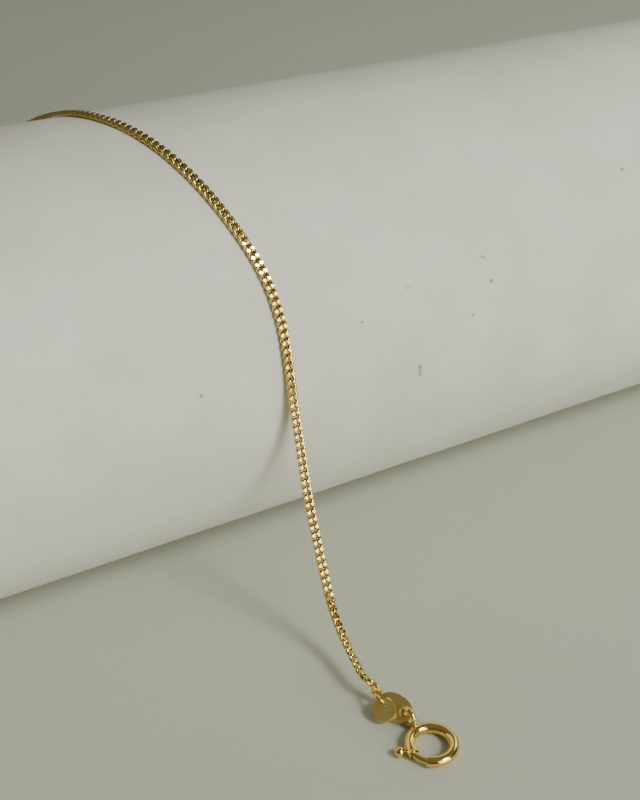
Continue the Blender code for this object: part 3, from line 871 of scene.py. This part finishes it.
def pin_share(tree, place):
    """The distance to the nearest pinhole's middle, as a share of its radius."""
    least = None
    for x, y, z, radius in PINHOLES:
        apart = tree.nodes.new("ShaderNodeVectorMath")
        apart.operation = "DISTANCE"
        apart.inputs[1].default_value = (x * MM, y * MM, z * MM)
        tree.links.new(place, apart.inputs[0])
        share = tree.nodes.new("ShaderNodeMath")
        share.operation = "DIVIDE"
        share.inputs[1].default_value = radius * MM
        tree.links.new(apart.outputs["Value"], share.inputs[0])
        if least is None:
            least = share.outputs["Value"]
            continue
        nearer = tree.nodes.new("ShaderNodeMath")
        nearer.operation = "MINIMUM"
        tree.links.new(least, nearer.inputs[0])
        tree.links.new(share.outputs["Value"], nearer.inputs[1])
        least = nearer.outputs["Value"]
    return least


def plaster_finish():
    material, tree, shader, place = new_material("cast_plaster")
    shader.inputs["Roughness"].default_value = 0.9
    shader.inputs["Specular IOR Level"].default_value = 0.25
    tone = ramp(tree, noise(tree, place, 9 * MM, 4.0), ((0.35, PLASTER_DARK), (0.65, PLASTER_LIGHT)))
    # The pinholes darken the colour: painted shade, not holes in the surface.
    pinhole_shade_mix = tree.nodes.new("ShaderNodeMix")
    pinhole_shade_mix.data_type = "RGBA"
    edge = ramp(tree, pin_share(tree, place), ((0.55, (0, 0, 0)), (1.0, (1, 1, 1))))
    tree.links.new(edge, pinhole_shade_mix.inputs["Factor"])
    pinhole_shade_mix.inputs["A"].default_value = (*PINHOLE_PAINTED_SHADE, 1.0)
    tree.links.new(tone, pinhole_shade_mix.inputs["B"])
    tree.links.new(pinhole_shade_mix.outputs["Result"], shader.inputs["Base Color"])
    bump(tree, shader, noise(tree, place, 1.6 * MM, 5.0), 0.10 * MM, 0.5)
    return material


cast_plaster = plaster_finish()

# %% Make the roll's surface

ROLL_AROUND = 240
ROLL_ALONG = 300
ROLL_EDGE = 1.4 * MM
DENT_COUNT = 700
DENT_DEPTH = 0.05 * MM


def roll_profile():
    """Place along the roll and share of the radius: end face, rounded edge, side, edge, end face."""
    half = (roll_high[0] - roll_low[0]) / 2
    turn = np.linspace(0, np.pi / 2, 8)
    face_reach = np.linspace(0.06, 1, 14) * (ROLL_RADIUS - ROLL_EDGE)
    edge_reach = ROLL_RADIUS - ROLL_EDGE + ROLL_EDGE * np.sin(turn)
    edge_along = half - ROLL_EDGE + ROLL_EDGE * np.cos(turn)
    side = np.linspace(half - ROLL_EDGE, -half + ROLL_EDGE, ROLL_ALONG)[1:-1]
    along = np.concatenate([np.full(14, half), edge_along[1:], side, -edge_along[::-1][:-1], np.full(14, -half)])
    reach = np.concatenate([face_reach, edge_reach[1:], np.full(len(side), ROLL_RADIUS),
                            edge_reach[::-1][:-1], face_reach[::-1]])
    return along, reach


def dents(along, turn):
    """Sum of soft round dents and rises, each depth * exp(-distance2 / width2)."""
    chance = np.random.default_rng(7)
    place = chance.uniform(roll_low[0], roll_high[0], DENT_COUNT)
    angle = chance.uniform(0, 2 * np.pi, DENT_COUNT)
    width = chance.uniform(1.2, 4.5, DENT_COUNT) * MM
    depth = chance.normal(0, DENT_DEPTH / 2, DENT_COUNT) * (width / (4.5 * MM))
    total = np.zeros((len(along), len(turn)))
    for x, a, w, d in zip(place, angle, width, depth):
        round_way = (turn - a + np.pi) % (2 * np.pi) - np.pi
        total += d * np.exp(-((along - x) / w)**2)[:, None] * np.exp(-(round_way * ROLL_RADIUS / w)**2)[None]
    return total


profile_along, profile_reach = roll_profile()
around = np.linspace(0, 2 * np.pi, ROLL_AROUND, endpoint=False)
uneven = dents(profile_along, around) * (profile_reach / ROLL_RADIUS)[:, None]**4
reach = profile_reach[:, None] + uneven
roll_grid = np.stack([
    np.repeat(profile_along[:, None], ROLL_AROUND, 1) + (roll_low[0] + roll_high[0]) / 2,
    ROLL_AXIS[1] + reach * np.cos(around),
    np.maximum(ROLL_AXIS[2] + reach * np.sin(around), 0),
], axis=-1)
roll_parts = closed_grid(roll_grid, True, True)
plaster_roll = add_piece("plaster_roll", [(points, faces[:, ::-1]) for points, faces in roll_parts], cast_plaster)
roll_weld = plaster_roll.modifiers.new("closed ends", "WELD")
roll_weld.merge_threshold = 1e-6
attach(plaster_roll, NECKLACE)
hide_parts("display_roll")

# %% [markdown]
# ## Table and light
# The piece lies on a plain pale table. The light is soft and comes mostly from above: one large
# panel high on the right throws the soft shadows to the left, and a weaker one fills the front.
# Polished gold needs something dark to mirror as well, so the surroundings are bright overhead
# and dark round the horizon.

# %% Table, lights and surroundings

TABLE_COLOUR = (0.54, 0.56, 0.468)
TABLE_HALF = 1.5


def table_finish():
    material, tree, shader, place = new_material("pale_table")
    shader.inputs["Base Color"].default_value = (*TABLE_COLOUR, 1.0)
    shader.inputs["Roughness"].default_value = 0.7
    bump(tree, shader, noise(tree, place, 0.5 * MM, 3.0), 0.01 * MM, 0.3)
    return material


corner = np.array([(-1, -1, 0), (1, -1, 0), (1, 1, 0), (-1, 1, 0)]) * TABLE_HALF
table = add_piece("table", [(corner, np.array([[0, 1, 2, 3]]))], table_finish())


def panel(name, place, target, size, power, colour=(1.0, 1.0, 1.0)):
    """A square area light of the given size, turned to face its target."""
    light = bpy.data.lights.new(name, "AREA")
    light.size = size
    light.energy = power
    light.color = colour
    lamp = bpy.data.objects.new(name, light)
    lamp.location = place
    away = np.array(place, float) - np.array(target, float)
    flat = math.hypot(away[0], away[1])
    lamp.rotation_euler = (math.atan2(flat, away[2]), 0, math.atan2(away[1], away[0]) + math.pi / 2)
    bpy.context.scene.collection.objects.link(lamp)
    return lamp


DAYLIGHT = (1.0, 1.0, 0.93)
panel("key_panel", (0.29, -0.56, 0.60), (-0.02, -0.03, 0.0), 0.22, 4.0, DAYLIGHT)
panel("front_window", (0.26, -0.90, 0.30), (-0.02, -0.03, 0.02), 0.70, 5.6, DAYLIGHT)
panel("right_panel", (0.80, 0.16, 0.50), (0, 0, 0.0), 0.45, 1.1, DAYLIGHT)

surroundings = bpy.data.worlds.new("soft_room")
surroundings.use_nodes = True
bpy.context.scene.world = surroundings
world_tree = surroundings.node_tree
direction = world_tree.nodes.new("ShaderNodeTexCoord")
parts_of = world_tree.nodes.new("ShaderNodeSeparateXYZ")
world_tree.links.new(direction.outputs["Generated"], parts_of.inputs["Vector"])
sky = ramp(world_tree, parts_of.outputs["Z"], (
    (0.0, (0.04, 0.04, 0.035)), (0.30, (0.08, 0.08, 0.07)), (0.60, (0.12, 0.12, 0.105)), (1.0, (0.17, 0.17, 0.155))))
world_tree.links.new(sky, world_tree.nodes["Background"].inputs["Color"])

# %% Update the scene and finish
bpy.context.view_layer.update()
